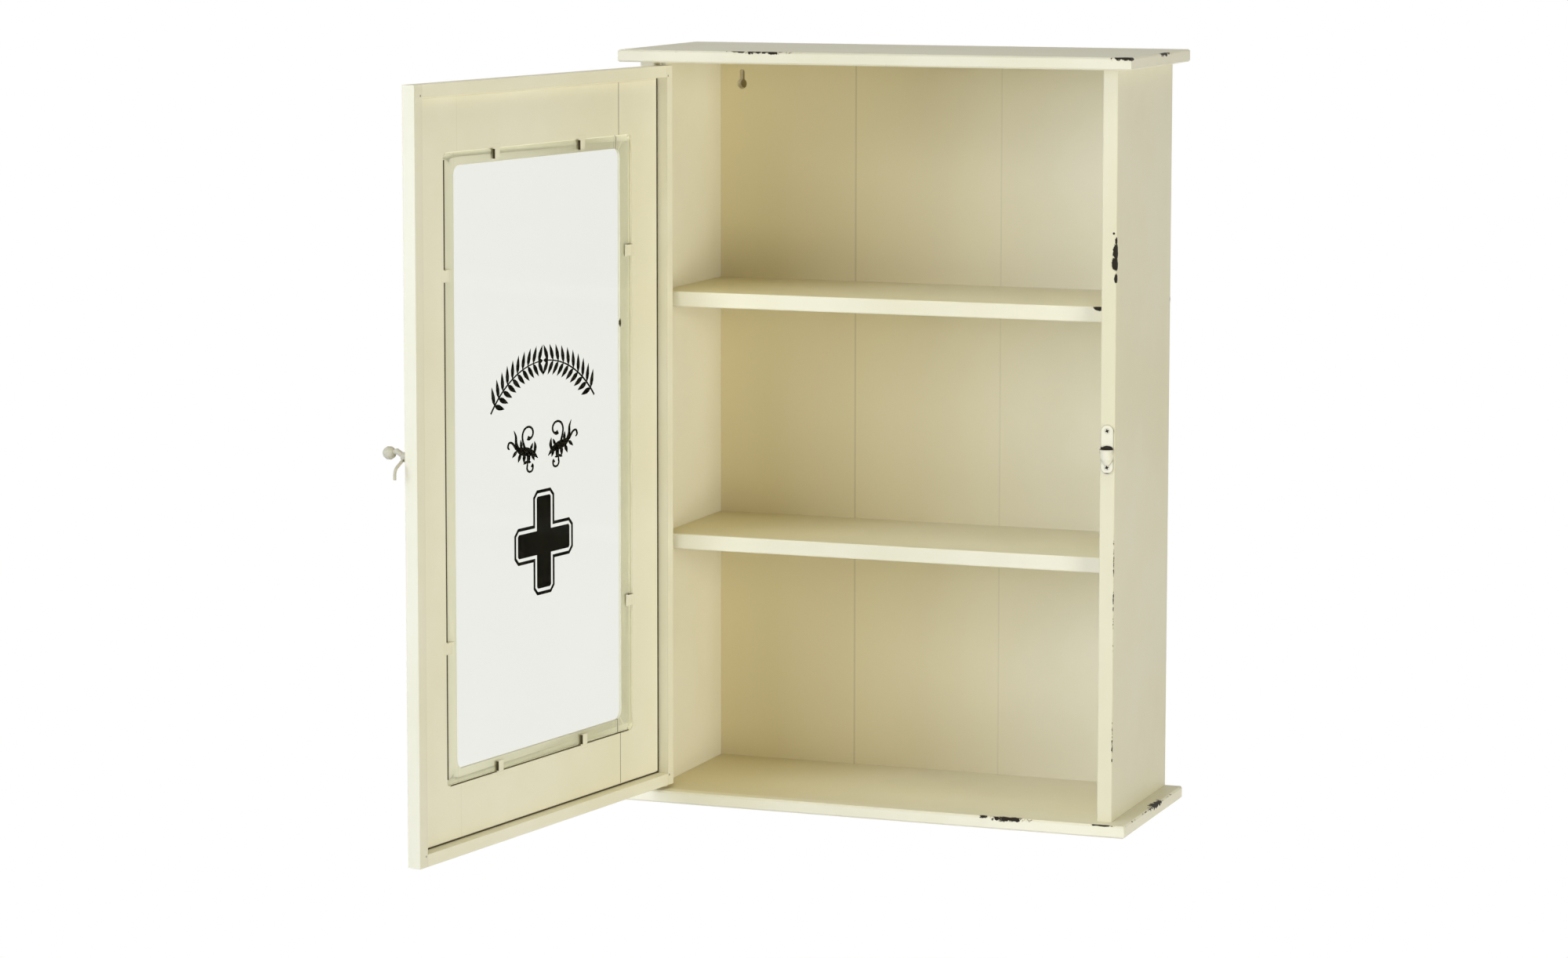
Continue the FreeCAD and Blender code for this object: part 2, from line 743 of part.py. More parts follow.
# Round length on the latch axis, from a start to an end measured behind the face of the strip
def latch_rod(name, diameter, start, end):
    spot = (along(LATCH_U), f"{start} - pivot_setback", LATCH_Z)
    return rod(name, "y", diameter, f"({end}) - ({start})", spot)


# Neck: up out of the hub, over a round elbow, down again and into a turned knob
def make_neck(root):
    top = f"({root} - neck_run * cos(neck_rise_angle))"
    crest = f"({LATCH_Z} + neck_run * sin(neck_rise_angle))"
    knob = f"({top} - neck_fall * cos(neck_fall_angle))"
    level = f"({crest} - neck_fall * sin(neck_fall_angle))"
    rise = rod("neck_rise", "y", "neck_diameter", "neck_run", (along(LATCH_U), root, LATCH_Z))
    fall = rod("neck_fall", "y", "neck_diameter", "neck_fall", (along(LATCH_U), top, crest))
    for run, angle in ((rise, "90 - neck_rise_angle"), (fall, "90 + neck_fall_angle")):
        run.Placement = FreeCAD.Placement(FreeCAD.Vector(), FreeCAD.Rotation(FreeCAD.Vector(1, 0, 0), 1))
        run.setExpression("Placement.Rotation.Angle", sized(angle))
    elbow = doc.addObject("Part::Sphere", "neck_elbow")
    elbow.setExpression("Radius", sized("neck_diameter / 2"))
    place(elbow, along(LATCH_U), top, crest)
    return [rise, fall, elbow, *make_knob(knob, level)]


# Knob turned about a level axis: a waist, a shoulder on each side of it and two small ends
def make_knob(middle, level):
    waist = "knob_waist / 2"
    shoulder = f"({waist} + knob_shoulder_length)"
    end = f"({shoulder} + knob_end_length)"
    bands = (
        ("front_end", ("knob_end", "knob_shoulder"), f"-{end}", f"-{shoulder}"),
        ("front_shoulder", ("knob_shoulder", "knob_diameter"), f"-{shoulder}", f"-{waist}"),
        ("back_shoulder", ("knob_diameter", "knob_shoulder"), waist, shoulder),
        ("back_end", ("knob_shoulder", "knob_end"), shoulder, end),
    )
    pieces = []
    for name, widths, near, far in bands:
        start = (along(LATCH_U), f"{middle} + {near}", level)
        pieces.append(taper(f"knob_{name}", "y", widths, f"({far}) - ({near})", start))
    drum_start = (along(LATCH_U), f"{middle} - {waist}", level)
    drum = rod("knob_drum", "y", "knob_diameter", "knob_waist", drum_start)
    return [*pieces, drum]


# Finger: a square bar, out of the hub at a slope, round a bend and straight down
def make_finger():
    half = "finger_thickness / 2"
    front = "-pivot_setback - finger_offset"
    bend_start = "(finger_reach - finger_bend_radius + finger_bend_radius * sin(finger_slope_angle))"
    level = f"(-{bend_start} * tan(finger_slope_angle) - finger_bend_radius * cos(finger_slope_angle))"
    deep = (f"{front} - {half}", f"{front} + {half}")
    slope = block("finger_slope", ("0", f"{bend_start} / cos(finger_slope_angle)"), deep, (f"-{half}", half))
    slope.Placement = FreeCAD.Placement(FreeCAD.Vector(), FreeCAD.Rotation(FreeCAD.Vector(0, 1, 0), 1))
    slope.setExpression("Placement.Rotation.Angle", sized("finger_slope_angle"))
    lift = (f"{half} * sin(finger_slope_angle)", f"{half} * cos(finger_slope_angle)")
    place(slope, f"{along(LATCH_U)} - {lift[0]}", deep[0], f"{LATCH_Z} - {lift[1]}")
    bend_middle = along(f"{LATCH_U} + finger_reach - finger_bend_radius")
    centre = (bend_middle, f"{front} + {half}", f"{LATCH_Z} + {level}")
    rings = []
    for name, sign in (("bend_outside", "+"), ("bend_inside", "-")):
        width = f"2 * finger_bend_radius {sign} finger_thickness"
        ring = rod(f"finger_{name}", "z", width, "finger_thickness", centre)
        ring.Placement = FreeCAD.Placement(FreeCAD.Vector(), FreeCAD.Rotation(FreeCAD.Vector(1, 0, 0), 90))
        ring.setExpression("Angle", sized("90 - finger_slope_angle"))
        rings.append(ring)
    bend = cut("finger_bend", rings[0], [rings[1]])
    tip_middle = along(f"{LATCH_U} + finger_reach")
    tip = block(
        "finger_tip",
        (f"{tip_middle} - {half}", f"{tip_middle} + {half}"),
        deep,
        (f"{LATCH_Z} - finger_drop", f"{LATCH_Z} + {level}"),
    )
    return [slope, bend, tip]


make_case()
make_back()
closed_tabs = make_tabs()
closed_nails = make_nails()
spindle_space, closed_pin = make_latch_seat()
make_strips(closed_nails, spindle_space, closed_pin)
make_panel(closed_tabs, closed_nails)
make_glass()
swing(group("glazing_tabs", [closed_tabs]), "glazing_tabs")
swing(group("strip_nails", [closed_nails]), "strip_nails")
swing(group("latch_pin", [closed_pin]), "latch_pin")
make_lever()
doc.recompute()

faults = [thing.Name for thing in doc.Objects if {"Invalid", "Error"} & set(thing.State)]
faults += [part.Label for part in finished if part.Shape.isNull() or not part.Shape.isValid()]
if faults:
    raise RuntimeError("not built: " + ", ".join(faults))

os.makedirs("parts", exist_ok=True)
for part in finished:
    part.Shape.exportStep(f"parts/{part.Label}.step")
    print(part.Label, len(part.Shape.Solids), round(part.Shape.Volume, 1))
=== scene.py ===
import json
import math

import bmesh
import bpy
from mathutils import Matrix, Vector


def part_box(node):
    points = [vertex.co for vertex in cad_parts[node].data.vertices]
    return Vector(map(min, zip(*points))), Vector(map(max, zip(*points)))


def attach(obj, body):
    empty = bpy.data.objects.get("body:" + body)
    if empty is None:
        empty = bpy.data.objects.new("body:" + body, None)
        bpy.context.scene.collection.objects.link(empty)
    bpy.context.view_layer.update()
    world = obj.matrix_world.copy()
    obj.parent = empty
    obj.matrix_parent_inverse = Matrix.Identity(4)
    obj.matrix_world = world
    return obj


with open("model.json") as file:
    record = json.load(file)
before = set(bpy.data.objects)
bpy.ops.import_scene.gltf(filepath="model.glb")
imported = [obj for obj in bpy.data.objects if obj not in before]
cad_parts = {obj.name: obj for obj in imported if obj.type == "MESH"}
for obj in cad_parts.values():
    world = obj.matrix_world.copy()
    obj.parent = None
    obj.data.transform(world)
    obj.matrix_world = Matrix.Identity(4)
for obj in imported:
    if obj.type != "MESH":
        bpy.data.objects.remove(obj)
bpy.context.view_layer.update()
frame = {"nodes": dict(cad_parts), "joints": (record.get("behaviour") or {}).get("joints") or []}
nodes = frame["nodes"]
joints = {joint["name"]: joint for joint in frame["joints"]}
mm = 0.001
print("frame loaded:", len(nodes), "nodes")


# Camera at the photograph's viewing angle

cameraSetup = {
    "place": (1.26551, -3.78551, 0.49005),
    "turnLeft": 20.9583,  # degrees from looking straight at the wall
    "lookDown": 6.5128,
    "lens": 104.93,
    "sensor": 36,
    "shift": (0.02814, -0.0655),
    "farthest": 50,
}


def makeCamera(setup):
    data = bpy.data.cameras.new("camera")
    data.sensor_width = setup["sensor"]
    data.lens = setup["lens"]
    data.shift_x, data.shift_y = setup["shift"]
    data.clip_end = setup["farthest"]
    camera = bpy.data.objects.new("camera", data)
    camera.location = setup["place"]
    tilt, turn = math.radians(90 - setup["lookDown"]), math.radians(setup["turnLeft"])
    camera.rotation_euler = (tilt, 0, turn)
    bpy.context.scene.collection.objects.link(camera)
    bpy.context.scene.camera = camera


makeCamera(cameraSetup)
print("camera set")


# Node helpers

def newNode(tree, kind, **settings):
    node = tree.nodes.new(kind)
    for name, value in settings.items():
        setattr(node, name, value)
    return node


def feed(tree, source, target):
    if isinstance(source, bpy.types.NodeSocket):
        tree.links.new(source, target)
    else:
        target.default_value = source


def mathNode(tree, operation, first, second=0.0):
    node = newNode(tree, "ShaderNodeMath", operation=operation)
    feed(tree, first, node.inputs[0])
    feed(tree, second, node.inputs[1])
    return node.outputs[0]


def vectorNode(tree, operation, first, second=(0, 0, 0)):
    node = newNode(tree, "ShaderNodeVectorMath", operation=operation)
    feed(tree, first, node.inputs[0])
    feed(tree, second, node.inputs[1])
    single = operation in ("LENGTH", "DOT_PRODUCT")
    return node.outputs["Value" if single else "Vector"]


# Rises smoothly from 0 at low to 1 at high
def rampNode(tree, value, low, high):
    node = newNode(tree, "ShaderNodeMapRange", interpolation_type="SMOOTHSTEP")
    feed(tree, value, node.inputs["Value"])
    feed(tree, low, node.inputs["From Min"])
    feed(tree, high, node.inputs["From Max"])
    return node.outputs["Result"]


# Falls smoothly from 1 at low to 0 at high
def fallNode(tree, value, low, high):
    return mathNode(tree, "SUBTRACT", 1.0, rampNode(tree, value, low, high))


def mixColour(tree, mask, first, second):
    node = newNode(tree, "ShaderNodeMix", data_type="RGBA")
    feed(tree, mask, node.inputs[0])
    feed(tree, first, node.inputs[6])
    feed(tree, second, node.inputs[7])
    return node.outputs[2]


def noiseNode(tree, vector, scale, detail, roughness=0.55):
    node = newNode(tree, "ShaderNodeTexNoise")
    feed(tree, vector, node.inputs["Vector"])
    node.inputs["Scale"].default_value = scale
    node.inputs["Detail"].default_value = detail
    node.inputs["Roughness"].default_value = roughness
    return node.outputs["Fac"]


def rayMask(tree, *kinds):
    path = newNode(tree, "ShaderNodeLightPath")
    mask, *others = (path.outputs[f"Is {kind} Ray"] for kind in kinds)
    for other in others:
        mask = mathNode(tree, "MAXIMUM", mask, other)
    return mask


# The mask's dark places show the first shader, its light places the second
def mixSurface(tree, mask, first, second, output="Material Output"):
    mix = newNode(tree, "ShaderNodeMixShader")
    tree.links.new(mask, mix.inputs[0])
    tree.links.new(first.outputs[0], mix.inputs[1])
    tree.links.new(second.outputs[0], mix.inputs[2])
    tree.links.new(mix.outputs[0], tree.nodes[output].inputs["Surface"])


def newMaterial(name):
    material = bpy.data.materials.new(name)
    material.use_nodes = True
    tree = material.node_tree
    return material, tree, tree.nodes["Principled BSDF"]


def objectPlace(tree):
    return newNode(tree, "ShaderNodeTexCoord").outputs["Object"]


# Screen colours from 0 to 255 as Blender's linear colours
def rgb(red, green, blue):
    def straight(value):
        value /= 255
        return value / 12.92 if value <= 0.04045 else ((value + 0.055) / 1.055) ** 2.4
    return (straight(red), straight(green), straight(blue), 1.0)


# Shared effects

def makeGroup(name, inputs, outputs):
    tree = bpy.data.node_groups.new(name, "ShaderNodeTree")
    for label, kind, value in inputs:
        socket = tree.interface.new_socket(name=label, in_out="INPUT", socket_type=kind)
        socket.default_value = value
    for label, kind in outputs:
        tree.interface.new_socket(name=label, in_out="OUTPUT", socket_type=kind)
    return tree, tree.nodes.new("NodeGroupInput"), tree.nodes.new("NodeGroupOutput")


def placeGroup(tree, group, **values):
    node = newNode(tree, "ShaderNodeGroup", node_tree=group)
    for label, value in values.items():
        feed(tree, value, node.inputs[label])
    return node


# Brushed paint: long streaks along the grain, plus a slow change of tone
brushSetup = {
    "fine": (900.0, 4.0),  # scale and detail of the noise
    "fineShare": 0.6,
    "broad": (160.0, 2.0),
    "broadShare": 0.4,
    "tone": (7.0, 3.0),
}


def makeBrushGroup(setup):
    tree, start, end = makeGroup(
        "brushMarks",
        [("Vector", "NodeSocketVector", (0, 0, 0)), ("Grain", "NodeSocketVector", (1, 1, 1))],
        [("Streak", "NodeSocketFloat"), ("Tone", "NodeSocketFloat")],
    )
    along = vectorNode(tree, "MULTIPLY", start.outputs["Vector"], start.outputs["Grain"])
    fine = mathNode(tree, "MULTIPLY", noiseNode(tree, along, *setup["fine"]), setup["fineShare"])
    broad = mathNode(tree, "MULTIPLY", noiseNode(tree, along, *setup["broad"]), setup["broadShare"])
    tree.links.new(mathNode(tree, "ADD", fine, broad), end.inputs["Streak"])
    tone = noiseNode(tree, start.outputs["Vector"], *setup["tone"])
    tree.links.new(tone, end.inputs["Tone"])
    return tree


# Rubbed edges: where the bevelled normal leaves the surface, broken up by noise
edgeSetup = {
    "radius": 0.0015,
    "samples": 6,
    "bend": (0.015, 0.16),  # how far the two normals part on a flat place and on an edge
    "breaks": (55.0, 6.0, 0.68),  # scale, detail and roughness of the noise
    "breakLevel": 0.78,
    "amountShare": 0.3,
    "softness": 0.06,
}


def makeEdgeGroup(setup):
    tree, start, end = makeGroup(
        "edgeRub",
        [
            ("Vector", "NodeSocketVector", (0, 0, 0)),
            ("Amount", "NodeSocketFloat", 0.5),
            ("Radius", "NodeSocketFloat", setup["radius"]),
        ],
        [("Rub", "NodeSocketFloat"), ("Bare", "NodeSocketFloat")],
    )
    bevel = newNode(tree, "ShaderNodeBevel", samples=setup["samples"])
    tree.links.new(start.outputs["Radius"], bevel.inputs["Radius"])
    geometry = newNode(tree, "ShaderNodeNewGeometry")
    agree = vectorNode(tree, "DOT_PRODUCT", bevel.outputs["Normal"], geometry.outputs["Normal"])
    edge = rampNode(tree, mathNode(tree, "SUBTRACT", 1.0, agree), *setup["bend"])
    broken = noiseNode(tree, start.outputs["Vector"], *setup["breaks"])
    share = mathNode(tree, "MULTIPLY", start.outputs["Amount"], setup["amountShare"])
    limit = mathNode(tree, "SUBTRACT", setup["breakLevel"], share)
    worn = rampNode(tree, broken, limit, mathNode(tree, "ADD", limit, setup["softness"]))
    tree.links.new(mathNode(tree, "MULTIPLY", edge, worn), end.inputs["Bare"])
    tree.links.new(edge, end.inputs["Rub"])
    return tree


# One chip of lost paint: an egg-shaped place with a ragged outline
chipSetup = {
    "tears": (210.0, 5.0, 0.7),
    "tearDepth": 3.2,
    "chip": (0.86, 0.94),  # ends of the soft border, as shares of the half sizes
    "rim": (0.94, 1.25),
}


def makeChipGroup(setup):
    tree, start, end = makeGroup(
        "paintChip",
        [
            ("Vector", "NodeSocketVector", (0, 0, 0)),
            ("Centre", "NodeSocketVector", (0, 0, 0)),
            ("Size", "NodeSocketVector", (0.01, 0.01, 0.01)),
            ("Ragged", "NodeSocketFloat", 1.0),
        ],
        [("Chip", "NodeSocketFloat"), ("Rim", "NodeSocketFloat")],
    )
    away = vectorNode(tree, "SUBTRACT", start.outputs["Vector"], start.outputs["Centre"])
    reach = vectorNode(tree, "LENGTH", vectorNode(tree, "DIVIDE", away, start.outputs["Size"]))
    torn = noiseNode(tree, start.outputs["Vector"], *setup["tears"])
    torn = mathNode(tree, "MULTIPLY", mathNode(tree, "SUBTRACT", torn, 0.5), setup["tearDepth"])
    field = mathNode(tree, "ADD", reach, mathNode(tree, "MULTIPLY", torn, start.outputs["Ragged"]))
    tree.links.new(fallNode(tree, field, *setup["chip"]), end.inputs["Chip"])
    tree.links.new(fallNode(tree, field, *setup["rim"]), end.inputs["Rim"])
    return tree


# Painted shade: places between the sides and behind the front edges get a darker, warmer paint
# that stands in for the shade and warm bounced light inside the case, most on the hinge side, where
# the open door shades it
insideShadeSetup = {"softEdge": 0.006}


def makeInsideShadeGroup(setup):
    tree, start, end = makeGroup(
        "paintedInsideShade",
        [
            ("Vector", "NodeSocketVector", (0, 0, 0)),
            ("Half", "NodeSocketVector", (0.2, 0.1, 0.3)),
            ("From", "NodeSocketFloat", -0.1),
            ("To", "NodeSocketFloat", 0.2),
            ("Rear", "NodeSocketFloat", 0.0),
        ],
        [("Inside", "NodeSocketFloat")],
    )
    place, size, limit = (newNode(tree, "ShaderNodeSeparateXYZ") for part in range(3))
    tree.links.new(start.outputs["Vector"], place.inputs[0])
    tree.links.new(vectorNode(tree, "ABSOLUTE", start.outputs["Vector"]), size.inputs[0])
    tree.links.new(start.outputs["Half"], limit.inputs[0])
    across = mathNode(tree, "LESS_THAN", size.outputs[0], limit.outputs[0])
    upright = mathNode(tree, "LESS_THAN", size.outputs[2], limit.outputs[2])
    soft = mathNode(tree, "SUBTRACT", limit.outputs[1], setup["softEdge"])
    depth = fallNode(tree, size.outputs[1], soft, limit.outputs[1])
    shadeFade = fallNode(tree, place.outputs[0], start.outputs["From"], start.outputs["To"])
    inner = mathNode(tree, "LESS_THAN", place.outputs[1], start.outputs["Rear"])
    inside = across
    for mask in (upright, depth, shadeFade, inner):
        inside = mathNode(tree, "MULTIPLY", inside, mask)
    tree.links.new(inside, end.inputs["Inside"])
    return tree


brushMarks = makeBrushGroup(brushSetup)
edgeRub = makeEdgeGroup(edgeSetup)
paintChip = makeChipGroup(chipSetup)
paintedInsideShade = makeInsideShadeGroup(insideShadeSetup)
print("shared effects made")


# Door coordinates in mm: u from the hinge edge, n from the back of the strips to the front, z up

doorSetup = {"pivotInset": 5.0, "pivotSetback": 4.5, "stripDepth": 11.5, "glassFront": 13.3}
doorJoint = joints["door_swing"]
doorPivot = Matrix.Translation((*doorJoint["pos_m"][:2], 0))
doorTurn = doorPivot @ Matrix.Rotation(math.radians(doorJoint["range_deg"][0]), 4, "Z")


def onDoor(u, n, z):
    across = u - doorSetup["pivotInset"]
    deep = doorSetup["stripDepth"] - doorSetup["pivotSetback"] - n
    return doorTurn @ (Vector((across, deep, z)) * mm)


doorRun = (onDoor(1000, 0, 0) - onDoor(0, 0, 0)).normalized()
doorFront = (onDoor(0, 1000, 0) - onDoor(0, 0, 0)).normalized()


# Cream paint on wood

creamPaint = {
    "colour": rgb(237, 231, 209),
    "warmer": rgb(232, 225, 198),
    # painted shade for the inside of the case
    "shadedInside": rgb(217, 204, 163),
    "rubbed": rgb(196, 182, 146),
    "bare": rgb(28, 22, 11),
    "rim": rgb(120, 100, 70),
    "seam": rgb(84, 70, 44),
    "ledgeLight": rgb(255, 250, 228),
    "roughness": 0.42,
}
paintSetup = {
    "toneRange": (0.3, 0.75),
    "bareShare": 0.75,
    "streakHeight": 0.25,
    "streakRoughness": 0.12,
    "seamCore": 0.3,  # share of a seam's half width that is fully dark
    "rimShare": 0.3,
    "chipDepth": 2.5,
    "chipRoughness": 0.3,
    "bumpStrength": 0.35,
    "bumpDistance": 0.0002,
}
# The ledge behind the pane, in door coordinates, whose paint is made lighter as painted light,
# making up for the pane's tint and the shade in the rebate
paneLedge = {"middle": (197.5, 12.0, -0.25), "half": (143.5, 1.6, 255.75)}
caseHalf = (0.2005, 0.3155)  # half width and half height of the inside of the case
backRear = sum(corner.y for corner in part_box("back_panel")) / 2  # middle of its thickness
grains = {
    "upright": (1.0, 1.0, 0.035),
    "level": (0.035, 1.0, 1.0),
    "deep": (1.0, 0.035, 1.0),
}


def chipLayers(tree, place, chips):
    layers = {"Chip": 0.0, "Rim": 0.0}
    for centre, size, ragged in chips:
        spot = placeGroup(tree, paintChip, Vector=place, Centre=centre, Size=size, Ragged=ragged)
        for label in layers:
            layers[label] = mathNode(tree, "MAXIMUM", layers[label], spot.outputs[label])
    return layers["Chip"], layers["Rim"]


def seamMask(tree, place, across, at, width):
    along = vectorNode(tree, "DOT_PRODUCT", place, across)
    away = mathNode(tree, "ABSOLUTE", mathNode(tree, "SUBTRACT", along, at))
    return fallNode(tree, away, width * paintSetup["seamCore"], width)


def litLedgeMask(tree, place):
    away = vectorNode(tree, "SUBTRACT", place, tuple(onDoor(*paneLedge["middle"])))
    inside = 1.0
    for axis, half in zip((doorRun, doorFront, Vector((0, 0, 1))), paneLedge["half"]):
        reach = mathNode(tree, "ABSOLUTE", vectorNode(tree, "DOT_PRODUCT", away, tuple(axis)))
        inside = mathNode(tree, "MULTIPLY", inside, mathNode(tree, "LESS_THAN", reach, half * mm))
    return inside


def toned(colour, tone):
    return tuple(min(part * tone, 1.0) for part in colour[:3]) + (1.0,)


def makePaint(
    name, grain, look=creamPaint, tone=1.0, rub=0.35, line=0.22,
    chips=(), seams=(), shadeReach=None, shadeFade=(-0.04, 0.20), brightLedge=False,
):
    material, tree, shader = newMaterial(name)
    setup = paintSetup
    place = objectPlace(tree)
    brush = placeGroup(tree, brushMarks, Vector=place, Grain=grains[grain])
    edges = placeGroup(tree, edgeRub, Vector=place, Amount=rub)
    cool, warm = toned(look["colour"], tone), toned(look["warmer"], tone)
    mixed = rampNode(tree, brush.outputs["Tone"], *setup["toneRange"])
    colour = mixColour(tree, mixed, cool, warm)
    # Painted shade inside the case: a darker, warmer colour that fades out across the case
    if shadeReach:
        half = (caseHalf[0], shadeReach, caseHalf[1])
        spot = placeGroup(
            tree, paintedInsideShade, Vector=place, Half=half, From=shadeFade[0], To=shadeFade[1], Rear=backRear,
        )
        colour = mixColour(tree, spot.outputs["Inside"], colour, toned(look["shadedInside"], tone))
    # Painted light: the ledge behind the pane is painted lighter
    if brightLedge:
        colour = mixColour(tree, litLedgeMask(tree, place), colour, look["ledgeLight"])
    faint = mathNode(tree, "MULTIPLY", edges.outputs["Rub"], line)
    colour = mixColour(tree, faint, colour, look["rubbed"])
    bare = mathNode(tree, "MULTIPLY", edges.outputs["Bare"], setup["bareShare"])
    colour = mixColour(tree, bare, colour, look["rim"])
    height = mathNode(tree, "MULTIPLY", brush.outputs["Streak"], setup["streakHeight"])
    rough = mathNode(tree, "MULTIPLY", brush.outputs["Streak"], setup["streakRoughness"])
    rough = mathNode(tree, "ADD", rough, look["roughness"])
    for across, at, width, strength in seams:
        seam = seamMask(tree, place, across, at, width)
        dark = mathNode(tree, "MULTIPLY", seam, strength)
        colour = mixColour(tree, dark, colour, look["seam"])
        height = mathNode(tree, "SUBTRACT", height, seam)
    if chips:
        chip, rim = chipLayers(tree, place, chips)
        pale = mathNode(tree, "MULTIPLY", rim, setup["rimShare"])
        colour = mixColour(tree, pale, colour, look["rubbed"])
        colour = mixColour(tree, chip, colour, look["bare"])
        deep = mathNode(tree, "MULTIPLY", chip, setup["chipDepth"])
        height = mathNode(tree, "SUBTRACT", height, deep)
        dull = mathNode(tree, "MULTIPLY", chip, setup["chipRoughness"])
        rough = mathNode(tree, "ADD", rough, dull)
    bump = newNode(tree, "ShaderNodeBump")
    bump.inputs["Strength"].default_value = setup["bumpStrength"]
    bump.inputs["Distance"].default_value = setup["bumpDistance"]
    tree.links.new(height, bump.inputs["Height"])
    tree.links.new(bump.outputs["Normal"], shader.inputs["Normal"])
    tree.links.new(colour, shader.inputs["Base Color"])
    tree.links.new(rough, shader.inputs["Roughness"])
    return material


def dress(node, material):
    mesh = nodes[node].data
    mesh.materials.clear()
    mesh.materials.append(material)


# Chips are in metres in the cabinet's own frame: centre, half sizes, raggedness.
# Seams are thin lines across a direction: direction, distance, half width, strength.
# "shadeReach" is how far forward the painted inside shade reaches, "shadeFade" where it fades out
# across the case.
railJoint = (tuple(doorRun), doorRun.dot(onDoor(74.3, 0, 0)), 0.0008, 0.85)
# Each "tone" makes a part's paint lighter or darker than the shared cream: painted light and shade,
# set for how much light each face gets (the top board and right side darker, the back panel and the
# door's parts lighter)
woodFinish = {
    "top_board": {
        "grain": "level",
        "tone": 0.92,
        "rub": 0.5,
        "chips": [
            ((-0.095, -0.180, 0.3252), (0.025, 0.0035, 0.0022), 1.0),
            ((-0.118, -0.180, 0.3252), (0.008, 0.002, 0.0010), 0.8),
            ((0.222, -0.179, 0.3252), (0.0115, 0.010, 0.0032), 0.8),
            ((0.227, -0.075, 0.3252), (0.003, 0.016, 0.003), 1.0),
        ],
    },
    "bottom_board": {
        "grain": "level",
        "tone": 1.02,
        "rub": 0.5,
        "shadeReach": 0.172,
        "shadeFade": (-0.20, 0.06),
        "chips": [
            ((0.125, -0.180, -0.3148), (0.0165, 0.004, 0.0030), 0.9),
            ((0.1035, -0.180, -0.3148), (0.0045, 0.003, 0.0022), 0.8),
            ((0.226, -0.081, -0.3148), (0.004, 0.017, 0.003), 1.0),
            # painted shadow: a thin dark line at the front of the bottom board, beside the right
            # side
            ((0.208, -0.180, -0.3146), (0.012, 0.002, 0.0011), 0.6),
            ((0.227, -0.090, -0.3148), (0.0008, 0.085, 0.0008), 0.9),
        ],
    },
    "left_side": {"grain": "upright", "tone": 0.97},
    "right_side": {
        "grain": "upright",
        # The right side's own darker, yellower paint is painted shade on this side
        "look": dict(creamPaint, colour=rgb(238, 231, 203), warmer=rgb(233, 225, 192)),
        "tone": 0.88,
        "rub": 0.55,
        "chips": [
            ((0.2118, -0.166, 0.1645), (0.0036, 0.004, 0.0070), 0.5),
            ((0.2115, -0.166, 0.1545), (0.0042, 0.004, 0.0062), 0.5),
            ((0.2118, -0.166, 0.1735), (0.0013, 0.002, 0.0040), 0.4),
            ((0.2118, -0.166, 0.1420), (0.0019, 0.003, 0.0045), 0.5),
            ((0.2094, -0.166, 0.1795), (0.0011, 0.001, 0.0011), 0.2),
            ((0.2122, -0.1662, -0.120), (0.0008, 0.0012, 0.055), 0.9),
            ((0.2122, -0.1662, -0.245), (0.0009, 0.0012, 0.022), 0.9),
            ((0.212, 0.0, 0.110), (0.002, 0.002, 0.003), 0.8),
        ],
    },
    "back_panel": {
        "grain": "upright",
        "tone": 1.11,
        "shadeReach": 0.20,
        "seams": [((1, 0, 0), -0.072, 0.0011, 0.2), ((1, 0, 0), 0.062, 0.0009, 0.09)],
    },
    "upper_shelf": {
        "grain": "level",
        "shadeReach": 0.1525,
        "shadeFade": (-0.20, 0.06),
        "chips": [((0.193, -0.1535, 0.116), (0.005, 0.002, 0.002), 0.8)],
    },
    "lower_shelf": {"grain": "level", "tone": 0.98, "shadeReach": 0.1525, "shadeFade": (-0.20, 0.06)},
    "hinge_strip": {"grain": "upright"},
    "latch_strip": {"grain": "upright", "tone": 0.97},
    "top_strip": {"grain": "deep", "tone": 1.03},
    "bottom_strip": {"grain": "deep", "tone": 1.03},
    "hinge_stile": {
        "grain": "upright",
        "tone": 1.03,
        "brightLedge": True,
        "chips": [(tuple(onDoor(68.2, 12.0, 95.7)), (0.003, 0.002, 0.004), 0.5)],
    },
    "latch_stile": {"grain": "upright", "tone": 1.03, "brightLedge": True},
    "top_rail": {"grain": "deep", "tone": 1.03, "brightLedge": True, "seams": [railJoint]},
    "bottom_rail": {"grain": "deep", "tone": 1.03, "brightLedge": True, "seams": [railJoint]},
}
for node, finish in woodFinish.items():
    dress(node, makePaint(f"cream_{node}", **finish))
print("painted wood dressed")


# Painted metal

latchPaint = {
    "colour": rgb(214, 208, 186),
    "warmer": rgb(204, 196, 168),
    "rubbed": rgb(150, 140, 115),
    "bare": rgb(40, 34, 26),
    "rim": rgb(70, 60, 45),
    "roughness": 0.36,
}
# The keeper's dark rubbed colour, drawn strongly along its edges, paints the shade round the
# plate's outline as well as wear
keeperPaint = dict(
    latchPaint, colour=rgb(236, 231, 212), warmer=rgb(230, 223, 199), rubbed=rgb(104, 92, 66),
)
keeperLow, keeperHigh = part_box("keeper")
keeperMiddle = (keeperLow + keeperHigh) / 2
